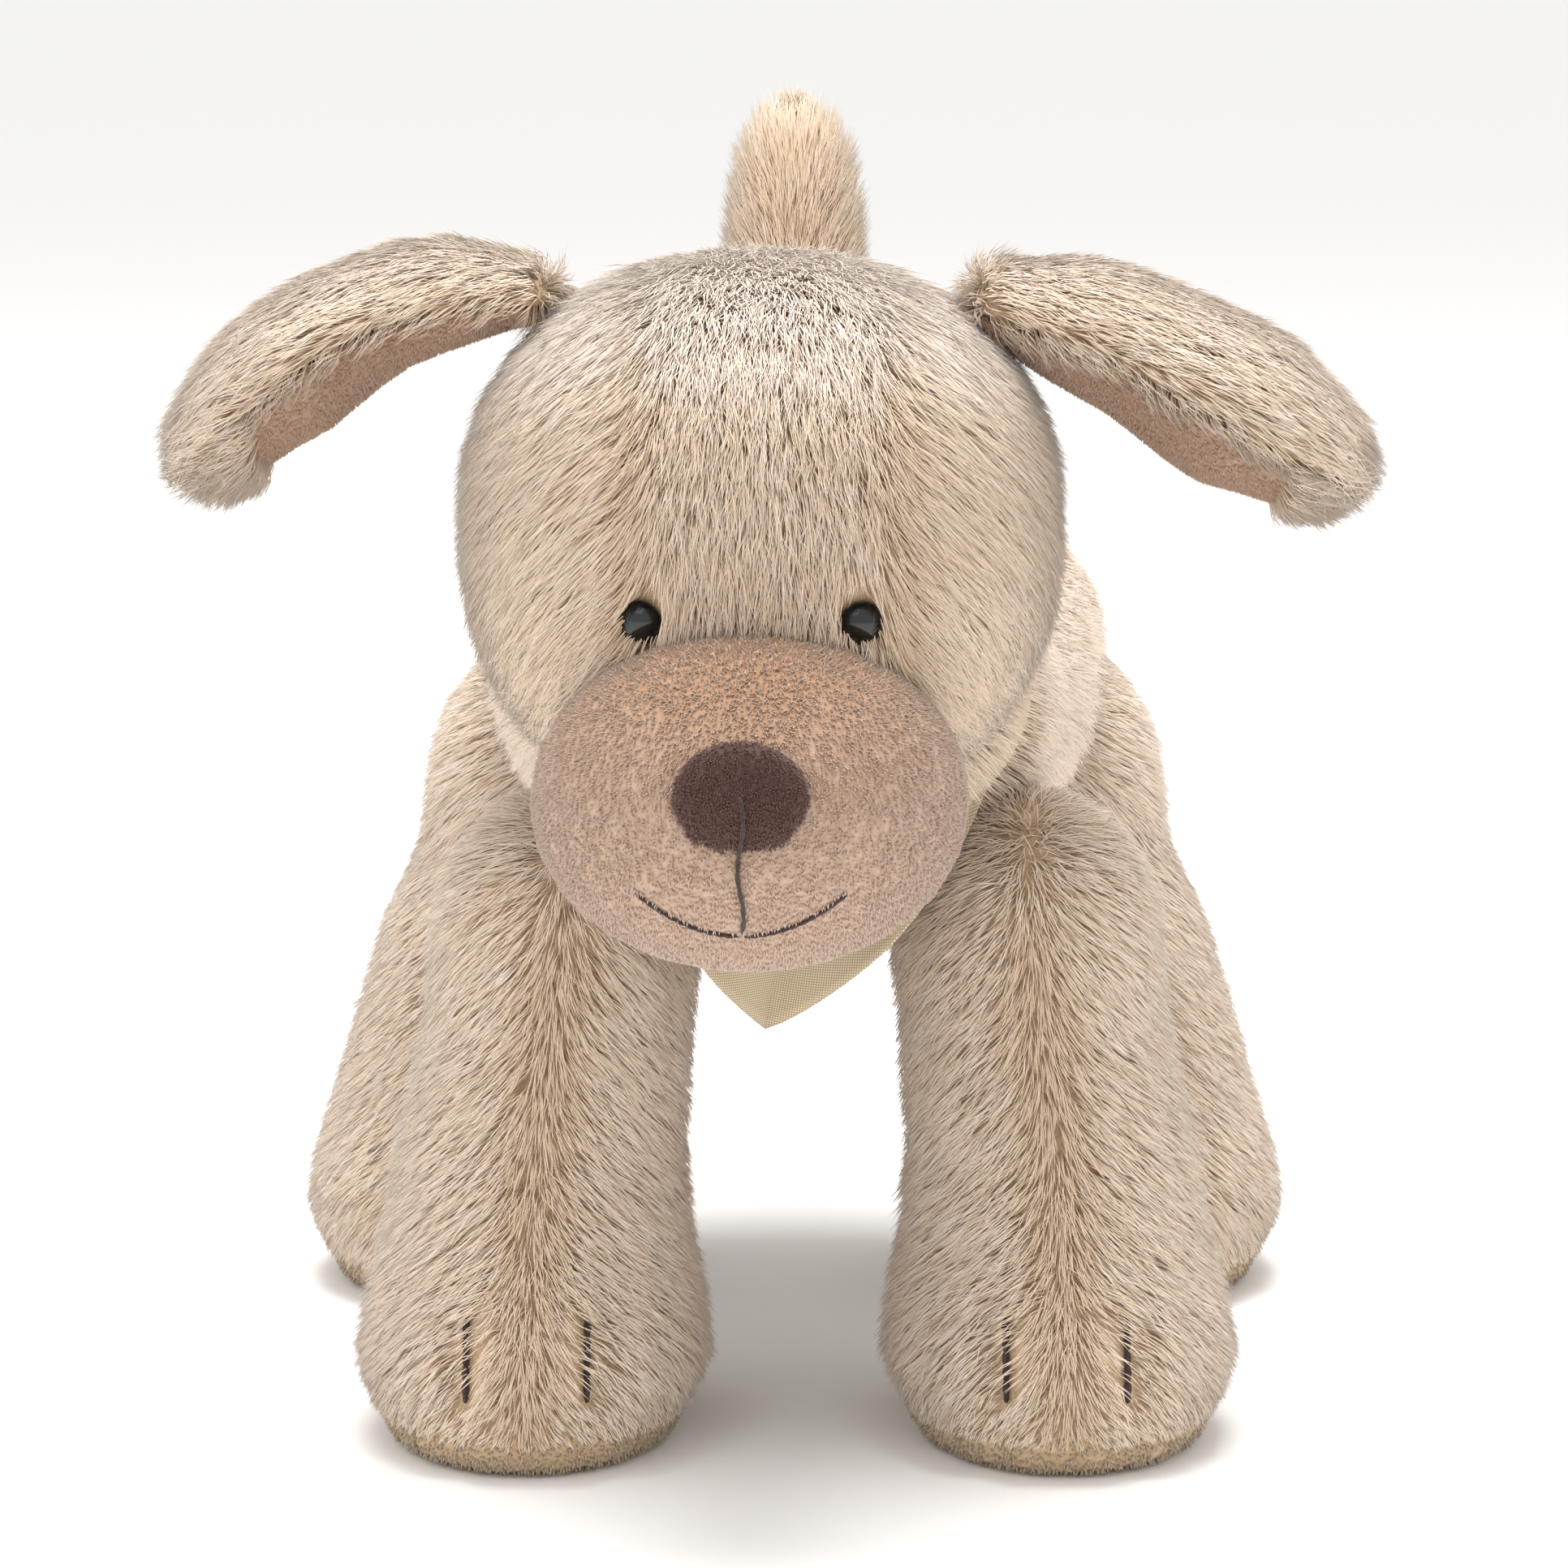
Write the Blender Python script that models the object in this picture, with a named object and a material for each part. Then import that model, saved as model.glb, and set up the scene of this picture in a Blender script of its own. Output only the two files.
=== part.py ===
"""Standing plush dog: fur covers sewn round stuffing; the neck, ears, legs and tail flex at their seams.

Metres, +Z up. The dog looks along -Y and stands on Z = 0, and its own left side is at +X.
"""

import math

import bmesh
import bpy
from mathutils import Matrix, Vector

# Cloth and clearances
COVER = 0.003  # backing cloth with the pressed root of its pile
GAP = 0.0003  # between pieces that touch
SEAM_ROOM = 0.001  # between a limb and the pocket it turns in

# The design is drawn about the torso's middle plane, then the whole dog is moved so that the origin lies
# under the middle of its box
HOME = Vector((0.00537, 0.02975, 0.0))

# Torso: a ball at the chest, then oval sections (y, half width, top z, bottom z) towards the rump
NECK_PIVOT = Vector((0.0, -0.035, 0.150))
CHEST_RADIUS = 0.050
BACK_SECTIONS = (
    (-0.008, 0.055, 0.192, 0.099),
    (0.022, 0.063, 0.193, 0.099),
    (0.056, 0.068, 0.199, 0.098),
    (0.085, 0.058, 0.193, 0.107),
    (0.103, 0.036, 0.178, 0.124),
)
RUMP_END = Vector((0.0, 0.110, 0.152))
TORSO_SIDES = 24

# Head, as built facing straight ahead; the whole head is then turned about the neck
HEAD_SHIFT = -0.006
HEAD_TURN = math.radians(-2.0)
HEAD_CENTRE = Vector((HEAD_SHIFT, -0.074, 0.194))
HEAD_HALF = Vector((0.056, 0.054, 0.053))
HEAD_SQUARENESS = 2.35
MUZZLE_CENTRE = Vector((HEAD_SHIFT, -0.130, 0.1465))
MUZZLE_HALF = Vector((0.0430, 0.046, 0.0330))
MUZZLE_SQUARENESS = 2.05
NOSE_CENTRE = Vector((HEAD_SHIFT, -0.1735, 0.1535))
NOSE_HALF = Vector((0.0132, 0.0048, 0.0118))

# Neck plug: a thick cap of stuffing on the chest ball
NECK_TILT = math.radians(46.0)  # of the line from the neck to the head, above level
PLUG_ANGLE = math.radians(20.0)
PLUG_THICK = 0.0036
PLUG_POCKET_ANGLE = math.radians(36.0)
HEAD_SOCKET_ROOM = 0.0028  # over the chest ball, so that the head passes over the scarf as it turns
SCARF_RELIEF = (math.radians(56.0), math.radians(112.0))  # where the head's back edge clears the raised nape
SCARF_RELIEF_ROOM = 0.0012

# Eyes: moulded domes on a stem, with a washer behind the cloth
EYE_ASIDE = 0.0215
EYE_HEIGHT = 0.1810
EYE_RADIUS = 0.0045
EYE_RISE = 0.0034
EYE_LIFT = 0.0009  # from the cloth to the back of the dome
STEM_RADIUS = 0.0015
STEM_LENGTH = 0.0100
WASHER_RADIUS = 0.0055
WASHER_THICK = 0.0014
WASHER_CLEAR = 0.0008  # from the inside of the cloth to the washer
STEM_END_ROOM = 0.0010  # in the filling, behind the stem
HOLE_OVERRUN = 0.0040  # how far an eye's cutters stand out of the cloth

# Ears: (start angle, end angle above level, twist, plumpness) of each, then the shape that both share
EAR_BASE = Vector((0.0435, -0.071, 0.2385))  # aside, along, up, from the head's middle plane
EAR_LENGTH = 0.084
EAR_POSES = {
    "right": (math.radians(5.0), math.radians(-65.0), math.radians(0.0), 1.0),
    "left": (math.radians(-14.0), math.radians(-40.0), math.radians(4.0), 1.2),
}
EAR_WIDTHS = ((0.0, 0.0125), (0.25, 0.0180), (0.60, 0.0245), (0.85, 0.0205), (1.0, 0.0070))
EAR_FUR_RISE = ((0.0, 0.0060), (0.30, 0.0115), (0.70, 0.0130), (0.90, 0.0095), (1.0, 0.0045))
EAR_LINING_RISE = ((0.0, 0.0030), (0.30, 0.0080), (0.70, 0.0125), (0.90, 0.0085), (1.0, 0.0035))
EAR_STATIONS = 10

# Legs: a ball at the hip, then oval sections down to the sole (z, x, y, half width, half length)
FRONT_HIP = Vector((0.0485, -0.058, 0.109))
FRONT_HIP_RADIUS = 0.0245
FRONT_SECTIONS = (
    (0.088, 0.0502, -0.0600, 0.0238, 0.0250),
    (0.062, 0.0540, -0.0645, 0.0260, 0.0260),
    (0.044, 0.0550, -0.0675, 0.0280, 0.0300),
    (0.028, 0.0555, -0.0715, 0.0315, 0.0370),
    (0.014, 0.0560, -0.0730, 0.0335, 0.0400),
    (0.0075, 0.0560, -0.0730, 0.0325, 0.0392),
)
HIND_HIP = Vector((0.0500, 0.0580, 0.1210))
HIND_HIP_RADIUS = 0.0315
HIND_SECTIONS = (
    (0.103, 0.0565, 0.0580, 0.0270, 0.0250),
    (0.086, 0.0620, 0.0575, 0.0300, 0.0320),
    (0.066, 0.0680, 0.0560, 0.0300, 0.0325),
    (0.044, 0.0735, 0.0545, 0.0310, 0.0320),
    (0.028, 0.0765, 0.0525, 0.0330, 0.0360),
    (0.014, 0.0775, 0.0520, 0.0335, 0.0375),
    (0.0075, 0.0775, 0.0520, 0.0325, 0.0368),
)
SOLE_RIM = 0.0072
SOLE_FLAT = 0.84  # the flat underside, as a share of the paw's outline
LEG_SIDES = 14
TOE_STITCH_ASIDE = 0.0125
TOE_STITCH_FROM = 0.0165
TOE_STITCH_TO = 0.0330
THREAD_RADIUS = 0.0006

# Tail: a tapered tube that stands up from the rump
TAIL_BASE = Vector((0.0, 0.096, 0.187))
TAIL_BASE_RADIUS = 0.0120
TAIL_SECTIONS = (  # (y, z, radius)
    (0.0995, 0.201, 0.0122),
    (0.1035, 0.223, 0.0120),
    (0.1070, 0.245, 0.0110),
    (0.1095, 0.259, 0.0090),
    (0.1105, 0.267, 0.0058),
)
TAIL_TIP = Vector((0.0, 0.111, 0.2715))
TAIL_SIDES = 12

# Scarf: a strip round the neck that widens to a hanging corner under the chin
SCARF_TILT = math.radians(50.0)
SCARF_ANGLE = math.radians(76.0)
SCARF_BAND = math.radians(7.0)
SCARF_HEM = math.radians(3.0)  # below the band, all the way round
SCARF_THICK = 0.0012
SCARF_LIFT = 0.0006
SCARF_NAPE_LIFT = 0.0068  # the shoulders are wider than the chest ball
SCARF_DROP = 0.0350
SCARF_ASIDE = -0.0065  # the corner hangs a little to the dog's right
SCARF_FORWARD = 0.0120  # where the hem rides over the tops of the front legs
SCARF_CLEAR = 0.0030
SCARF_CORNER = math.radians(52.0)  # half the turn over which the corner widens
SCARF_STEPS = 40


# ---------------------------------------------------------------- materials
def srgb_to_linear(channel):
    return channel / 12.92 if channel <= 0.04045 else ((channel + 0.055) / 1.055) ** 2.4


def material(name, colour, roughness, metallic=0.0):
    made = bpy.data.materials.get(name) or bpy.data.materials.new(name)
    made.use_nodes = True
    shader = made.node_tree.nodes["Principled BSDF"]
    channels = [int(colour[i : i + 2], 16) / 255 for i in (0, 2, 4)]
    shader.inputs["Base Color"].default_value = [*map(srgb_to_linear, channels), 1.0]
    shader.inputs["Roughness"].default_value = roughness
    shader.inputs["Metallic"].default_value = metallic
    return made


def fur_cloth():
    return material("fur_cloth", "D9C6AE", 0.95)


def velour_cloth():
    return material("velour_cloth", "BDA18F", 0.92)


def nose_cloth():
    return material("nose_cloth", "5C4540", 0.90)


def canvas_cloth():
    return material("canvas_cloth", "C8B69A", 0.90)


def thread():
    return material("thread", "4A3833", 0.80)


def fibre_fill():
    return material("fibre_fill", "F2EFEA", 0.95)


def eye_plastic():
    return material("eye_plastic", "14181A", 0.08)


def washer_plastic():
    return material("washer_plastic", "E8E6E0", 0.45)


# ---------------------------------------------------------------- mesh tools
def new_object(name, build, finish, smooth=True):
    # The same diagonal everywhere keeps a lining clear of the skin that it was inset from
    bmesh.ops.triangulate(build, faces=build.faces, quad_method="FIXED")
    bmesh.ops.recalc_face_normals(build, faces=build.faces)
    data = bpy.data.meshes.new(name)
    build.to_mesh(data)
    build.free()
    data.materials.append(finish)
    made = bpy.data.objects.new(name, data)
    bpy.context.scene.collection.objects.link(made)
    if smooth:
        data.shade_smooth()
        data.set_sharp_from_angle(angle=math.radians(50.0))
    return made


def lofted(name, rings, finish):
    """Skin over rings of points from one end to the other. An end ring of one point is a pole."""
    build = bmesh.new()
    loops = [[build.verts.new(point) for point in ring] for ring in rings]
    for near, far in zip(loops, loops[1:]):
        count = max(len(near), len(far))
        for i in range(count):
            low, high = near[i % len(near)], far[i % len(far)]
            next_low, next_high = near[(i + 1) % len(near)], far[(i + 1) % len(far)]
            build.faces.new(list(dict.fromkeys((low, next_low, next_high, high))))
    for end in (loops[0], loops[-1]):
        if len(end) > 1:
            build.faces.new(end)
    return new_object(name, build, finish)


def turned(name, profile, finish, sides=16, hollow=False):
    """A profile of (radius, height) points turned about Z. A hollow one closes on itself, like a washer."""
    rings = []
    for radius, height in profile:
        angles = [math.tau * i / sides for i in range(sides)] if radius > 0 else [0.0]
        rings.append([Vector((radius * math.cos(a), radius * math.sin(a), height)) for a in angles])
    if not hollow:
        return lofted(name, rings, finish)
    build = bmesh.new()
    loops = [[build.verts.new(point) for point in ring] for ring in rings]
    for near, far in zip(loops, loops[1:] + loops[:1]):
        for i in range(sides):
            build.faces.new((near[i], near[(i + 1) % sides], far[(i + 1) % sides], far[i]))
    return new_object(name, build, finish)


def oval_ring(centre, across, half_across, along, half_along, sides, squareness=2.0):
    power = 2.0 / squareness
    ring = []
    for i in range(sides):
        turn = math.tau * i / sides
        c, s = math.cos(turn), math.sin(turn)
        u = math.copysign(abs(c) ** power, c) * half_across
        v = math.copysign(abs(s) ** power, s) * half_along
        ring.append(centre + across * u + along * v)
    return ring


def rounded_body(name, centre, half, finish, sides=24, rows=12, squareness=2.0):
    """A ball with its own half sizes. Squareness 2 is an ellipsoid, and more fills its corners."""
    power = 2.0 / squareness
    across, up = Vector((1, 0, 0)), Vector((0, 0, 1))
    rings = [[centre - Vector((0, half.y, 0))]]
    for row in range(1, rows):
        turn = math.pi * row / rows
        y = -math.copysign(abs(math.cos(turn)) ** power, math.cos(turn)) * half.y
        size = math.sin(turn) ** power
        at = centre + Vector((0, y, 0))
        rings.append(
            oval_ring(at, across, half.x * size, up, half.z * size, sides, squareness)
        )
    rings.append([centre + Vector((0, half.y, 0))])
    return lofted(name, rings, finish)


def cutter(made):
    made.hide_render = True
    made.display_type = "WIRE"
    return made


def cut(target, *tools):
    for tool in tools:
        modifier = target.modifiers.new("cut_" + tool.name, "BOOLEAN")
        modifier.operation = "DIFFERENCE"
        modifier.solver = "EXACT"
        modifier.object = tool


def pivot(name, at, parent=None):
    """An empty on a joint's axis, which carries the pieces that turn with it."""
    made = bpy.data.objects.new(name, None)
    made.empty_display_size = 0.01
    bpy.context.scene.collection.objects.link(made)
    made.parent = parent
    made.location = at - (Vector(parent["seat"]) if parent else Vector())
    made["seat"] = at
    return made


def seat(made, holder):
    """Moves the origin of a piece to its holder's pivot and parents it there."""
    made.data.transform(Matrix.Translation(-Vector(holder["seat"])))
    made.parent = holder
    return made


def between(stations, at):
    """Smooth value at a place along (place, value) stations."""
    for (low, first), (high, last) in zip(stations, stations[1:]):
        if at <= high:
            share = (at - low) / (high - low)
            return first + (last - first) * share * share * (3 - 2 * share)
    return stations[-1][1]


# ---------------------------------------------------------------- torso
def torso_rings(inset):
    across, up = Vector((1, 0, 0)), Vector((0, 0, 1))
    radius = CHEST_RADIUS - inset
    rings = [[NECK_PIVOT - Vector((0, radius, 0))]]
    for step in range(1, 7):
        turn = math.radians(15.0 * step)
        at = NECK_PIVOT - Vector((0, radius * math.cos(turn), 0))
        size = radius * math.sin(turn)
        rings.append(oval_ring(at, across, size, up, size, TORSO_SIDES))
    for y, half_width, top, bottom in BACK_SECTIONS:
        at = Vector((0, y, (top + bottom) / 2))
        rings.append(oval_ring(at, across, half_width - inset, up, (top - bottom) / 2 - inset, TORSO_SIDES))
    rings.append([RUMP_END - Vector((0, inset, 0))])
    return rings


def joint_balls(room, purpose, holder):
    """Cutters for the pockets that the legs and the tail turn in."""
    balls = []
    for limb, at, radius in (("front", FRONT_HIP, FRONT_HIP_RADIUS), ("hind", HIND_HIP, HIND_HIP_RADIUS)):
        for side, sign in (("left", 1), ("right", -1)):
            centre = Vector((at.x * sign, at.y, at.z))
            half = Vector([radius + room] * 3)
            ball = rounded_body(f"{purpose}_{limb}_{side}", centre, half, fibre_fill(), sides=16, rows=10)
            balls.append(cutter(seat(ball, holder)))
    half = Vector([TAIL_BASE_RADIUS + room] * 3)
    ball = rounded_body(f"{purpose}_tail", TAIL_BASE, half, fibre_fill(), sides=12, rows=8)
    balls.append(cutter(seat(ball, holder)))
    return balls


def make_torso(holder):
    cover = lofted("torso_cover", torso_rings(0.0), fur_cloth())
    hollow = cutter(lofted("torso_hollow", torso_rings(COVER), fibre_fill()))
    stuffing = lofted("torso_stuffing", torso_rings(COVER + GAP), fibre_fill())
    for made in (cover, hollow, stuffing):
        seat(made, holder)
    cut(cover, hollow, *joint_balls(SEAM_ROOM, "cover_pocket", holder))
    cut(stuffing, *joint_balls(SEAM_ROOM + GAP, "filling_pocket", holder))


# ---------------------------------------------------------------- neck and head
def towards(tilt, aside=0.0):
    """Unit direction at a height angle above level, looking ahead along -Y, turned aside towards +X."""
    return Vector(
        (math.cos(tilt) * math.sin(aside), -math.cos(tilt) * math.cos(aside), math.sin(tilt))
    )


def neck_cap(name, inner, outer, angle, finish):
    """Part of a thick ball shell about the neck's pivot, within an angle of the line to the head."""
    rows = 5
    turns = [angle * i / rows for i in range(1, rows + 1)]
    profile = [(0.0, inner)]
    profile += [(inner * math.sin(turn), inner * math.cos(turn)) for turn in turns]
    profile += [(outer * math.sin(turn), outer * math.cos(turn)) for turn in reversed(turns)]
    profile.append((0.0, outer))
    made = turned(name, profile, finish, sides=16)
    turn = Vector((0, 0, 1)).rotation_difference(towards(NECK_TILT))
    made.data.transform(Matrix.Translation(NECK_PIVOT) @ turn.to_matrix().to_4x4())
    return made


def make_neck(holder):
    inner = CHEST_RADIUS + SEAM_ROOM
    seat(neck_cap("neck_stuffing", inner, inner + PLUG_THICK, PLUG_ANGLE, fibre_fill()), holder)


def head_body(name, inset, finish):
    half = HEAD_HALF - Vector([inset] * 3)
    return rounded_body(name, HEAD_CENTRE, half, finish, 26, 14, HEAD_SQUARENESS)


def muzzle_body(name, inset, finish):
    half = MUZZLE_HALF - Vector([inset] * 3)
    return rounded_body(name, MUZZLE_CENTRE, half, finish, 22, 11, MUZZLE_SQUARENESS)


def scarf_relief(purpose, room):
    """A ring-shaped cutter about the neck, over the whole thickness of the scarf."""
    inner = CHEST_RADIUS * 0.9
    outer = CHEST_RADIUS + SCARF_LIFT + SCARF_NAPE_LIFT + SCARF_THICK + SCARF_RELIEF_ROOM + room
    rows = 6
    start, end = SCARF_RELIEF
    turns = [start + (end - start) * i / rows for i in range(rows + 1)]
    profile = [(inner * math.sin(turn), inner * math.cos(turn)) for turn in turns]
    profile += [(outer * math.sin(turn), outer * math.cos(turn)) for turn in reversed(turns)]
    made = turned(f"{purpose}_relief", profile, fibre_fill(), sides=28, hollow=True)
    turn = Vector((0, 0, 1)).rotation_difference(towards(NECK_TILT))
    made.data.transform(Matrix.Translation(NECK_PIVOT) @ turn.to_matrix().to_4x4())
    return cutter(made)


def neck_socket(purpose, room):
    """Cutters for the hollow at the back of the head: the chest ball, and a pocket for the neck plug."""
    half = Vector([CHEST_RADIUS + room] * 3)
    ball = cutter(rounded_body(f"{purpose}_ball", NECK_PIVOT, half, fibre_fill(), sides=26, rows=16))
    depth = CHEST_RADIUS + SEAM_ROOM + PLUG_THICK + room
    pocket = neck_cap(f"{purpose}_pocket", CHEST_RADIUS / 2, depth, PLUG_POCKET_ANGLE, fibre_fill())
    return ball, cutter(pocket), scarf_relief(purpose, max(0.0, room - HEAD_SOCKET_ROOM))


def eye_place(sign):
    """Matrix that puts the eye's own +Z along the head's outward normal, on its surface."""
    aside = EYE_ASIDE / HEAD_HALF.x
    height = (EYE_HEIGHT - HEAD_CENTRE.z) / HEAD_HALF.z
    power = HEAD_SQUARENESS
    along = (1 - abs(aside) ** power - abs(height) ** power) ** (1 / power)
    at = HEAD_CENTRE + Vector((sign * EYE_ASIDE, -along * HEAD_HALF.y, EYE_HEIGHT - HEAD_CENTRE.z))
    outward = Vector(
        (
            sign * aside ** (power - 1) / HEAD_HALF.x,
            -(along ** (power - 1)) / HEAD_HALF.y,
            math.copysign(abs(height) ** (power - 1), height) / HEAD_HALF.z,
        )
    ).normalized()
    turn = Vector((0, 0, 1)).rotation_difference(outward)
    return Matrix.Translation(at) @ turn.to_matrix().to_4x4()


def placed_turned(name, profile, place, finish, sides=16, hollow=False):
    made = turned(name, profile, finish, sides, hollow)
    made.data.transform(place)
    return made


def make_eyes(holder, head_cover, head_stuffing):
    dome = [(0.0, -STEM_LENGTH), (STEM_RADIUS, -STEM_LENGTH), (STEM_RADIUS, EYE_LIFT), (EYE_RADIUS, EYE_LIFT)]
    for step in range(1, 5):
        turn = math.radians(22.5 * step)
        dome.append((EYE_RADIUS * math.cos(turn), EYE_LIFT + EYE_RISE * math.sin(turn)))
    dome[-1] = (0.0, EYE_LIFT + EYE_RISE)
    washer_top = -COVER - WASHER_CLEAR
    inner = STEM_RADIUS + GAP
    washer_base = washer_top - WASHER_THICK
    washer = [(inner, washer_base), (WASHER_RADIUS, washer_base)]
    washer += [(WASHER_RADIUS, washer_top), (inner, washer_top)]
    reach = STEM_LENGTH + STEM_END_ROOM
    hole_radius = STEM_RADIUS + GAP
    room_radius = WASHER_RADIUS + GAP
    for side, sign in (("left", 1), ("right", -1)):
        place = eye_place(sign)
        seat(placed_turned(f"eye_{side}", dome, place, eye_plastic()), holder)
        seat(placed_turned(f"eye_washer_{side}", washer, place, washer_plastic(), hollow=True), holder)
        for target, purpose, radius in (
            (head_cover, "eye_hole", hole_radius),
            (head_stuffing, "washer_room", room_radius),
        ):
            post = [(0.0, -reach), (radius, -reach), (radius, HOLE_OVERRUN), (0.0, HOLE_OVERRUN)]
            tool = placed_turned(f"{purpose}_{side}", post, place, fibre_fill())
            cut(target, cutter(seat(tool, holder)))


def make_head(holder):
    cover = head_body("head_cover", 0.0, fur_cloth())
    hollow = cutter(head_body("head_hollow", COVER, fibre_fill()))
    stuffing = head_body("head_stuffing", COVER + GAP, fibre_fill())
    for made in (cover, hollow, stuffing):
        seat(made, holder)
    cover_socket = neck_socket("cover_socket", HEAD_SOCKET_ROOM)
    filling_socket = neck_socket("filling_socket", HEAD_SOCKET_ROOM + GAP)
    for made in (*cover_socket, *filling_socket):
        seat(made, holder)
    cut(cover, hollow, *cover_socket)
    cut(stuffing, *filling_socket)
    make_eyes(holder, cover, stuffing)


def make_muzzle(holder):
    cover = muzzle_body("muzzle_cover", 0.0, velour_cloth())
    hollow = cutter(muzzle_body("muzzle_hollow", COVER, fibre_fill()))
    stuffing = muzzle_body("muzzle_stuffing", COVER + GAP, fibre_fill())
    head_outside = cutter(head_body("head_outside", -GAP, fibre_fill()))
    nose = rounded_body("nose_patch", NOSE_CENTRE, NOSE_HALF, nose_cloth(), 16, 8)
    muzzle_outside = cutter(muzzle_body("muzzle_outside", -GAP, fibre_fill()))
    for made in (cover, hollow, stuffing, head_outside, nose, muzzle_outside):
        seat(made, holder)
    cut(cover, hollow, head_outside)
    cut(stuffing, head_outside)
    cut(nose, muzzle_outside)
    make_mouth(holder)


def on_muzzle(aside, height, lift):
    """Point on the front of the muzzle, lifted off it."""
    half = MUZZLE_HALF + Vector([lift] * 3)
    power = MUZZLE_SQUARENESS
    filled = 1 - abs(aside / half.x) ** power - abs((height - MUZZLE_CENTRE.z) / half.z) ** power
    return Vector((MUZZLE_CENTRE.x + aside, MUZZLE_CENTRE.y - half.y * filled ** (1 / power), height))


def stitched_line(name, points, finish, holder, radius=THREAD_RADIUS):
    """A laid thread: a round line through points, with closed ends."""
    data = bpy.data.curves.new(name, "CURVE")
    data.dimensions = "3D"
    data.bevel_depth = radius
    data.bevel_resolution = 1
    data.use_fill_caps = True
    data.materials.append(finish)
    spline = data.splines.new("POLY")
    spline.points.add(len(points) - 1)
    origin = Vector(holder["seat"])
    for knot, point in zip(spline.points, points):
        knot.co = (*(point - origin), 1.0)
    made = bpy.data.objects.new(name, data)
    bpy.context.scene.collection.objects.link(made)
    made.parent = holder
    return made


def make_mouth(holder):
    lift = THREAD_RADIUS + 2 * GAP
    mouth_height = 0.1270
    philtrum_top = 0.1400
    corner_aside, corner_height = 0.0190, 0.1345
    steps = 8
    start = 0.0012
    line = [on_muzzle(0.0, philtrum_top + (mouth_height - philtrum_top) * i / 5, lift) for i in range(6)]
    stitched_line("nose_stitch", line, thread(), holder)
    for side, sign in (("left", 1), ("right", -1)):
        smile = []
        for step in range(steps + 1):
            share = step / steps
            aside = start + (corner_aside - start) * share
            height = mouth_height - 0.0014 + (corner_height - mouth_height) * share**1.9
            smile.append(on_muzzle(sign * aside, height, lift))
        stitched_line(f"smile_stitch_{side}", smile, thread(), holder)


# ---------------------------------------------------------------- ears
def ear_frames(side, sign):
    """Stations along an ear: centre, plump outward normal of its fur side, and direction to its back edge."""
    start, end, twist, plumpness = EAR_POSES[side]
    at = Vector((HEAD_SHIFT + sign * EAR_BASE.x, EAR_BASE.y, EAR_BASE.z))
    frames = []
    step = EAR_LENGTH / EAR_STATIONS
    for station in range(EAR_STATIONS + 1):
        share = station / EAR_STATIONS
        angle = start + (end - start) * share
        along = Vector((sign * math.cos(angle), 0, math.sin(angle)))
        face = Vector((-sign * math.sin(angle), 0, math.cos(angle)))
        back = Vector((0, 1, 0))
        turned_face = face * math.cos(twist) - back * math.sin(twist)
        turned_back = back * math.cos(twist) + face * math.sin(twist)
        frames.append((share, at.copy(), turned_face * plumpness, turned_back))
        at += along * step
    return frames


def ear_half(name, side, sign, upwards, rises, finish):
    """One half of a plump flap: a crowned face on one side and the flat middle plane on the other."""
    rings = []
    crown_steps = 8
    for share, centre, face, back in ear_frames(side, sign):
        width = between(EAR_WIDTHS, share)
        thick = between(rises, share)
        ring = []
        for step in range(crown_steps + 1):
            turn = math.pi * step / crown_steps
            rise = GAP / 2 + thick * math.sin(turn)
            ring.append(centre + back * (-width * math.cos(turn)) + face * (rise * upwards))
        rings.append(ring)
    return lofted(name, rings, finish)


def make_ear(side, sign, holder):
    seat(ear_half(f"ear_{side}_fur", side, sign, 1, EAR_FUR_RISE, fur_cloth()), holder)
    seat(ear_half(f"ear_{side}_lining", side, sign, -1, EAR_LINING_RISE, velour_cloth()), holder)


# ---------------------------------------------------------------- legs and tail
def leg_rings(hip, hip_radius, sections, sign, inset):
    """Rings from the sole's rim up to the top of the hip ball."""
    across, along = Vector((1, 0, 0)), Vector((0, 1, 0))
    rings = []
    for z, x, y, half_width, half_length in reversed(sections):
        at = Vector((x * sign, y, z))
        rings.append(oval_ring(at, across, half_width - inset, along, half_length - inset, LEG_SIDES))
    centre = Vector((hip.x * sign, hip.y, hip.z))
    radius = hip_radius - inset
    for angle in (0.0, 25.0, 48.0, 70.0):
        turn = math.radians(angle)
        at = centre + Vector((0, 0, radius * math.sin(turn)))
        size = radius * math.cos(turn)
        rings.append(oval_ring(at, across, size, along, size, LEG_SIDES))
    rings.append([centre + Vector((0, 0, radius))])
    return rings


def sole_rings(section, sign, inset, rim):
    """Rings of a shallow dish from its rim down to the middle of its flat underside."""
    _, x, y, half_width, half_length = section
    across, along = Vector((1, 0, 0)), Vector((0, 1, 0))
    rings = []
    for share in (0.0, 0.45, 0.8, 1.0):
        size = 1.0 - (1.0 - SOLE_FLAT) * share**2
        half_across, half_along = (half_width - inset) * size, (half_length - inset) * size
        z = rim + (inset - rim) * math.sin(math.radians(90.0 * share))
        at = Vector((x * sign, y, z))
        rings.append(oval_ring(at, across, half_across, along, half_along, LEG_SIDES))
    rings.append([Vector((x * sign, y, inset))])
    return rings


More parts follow.
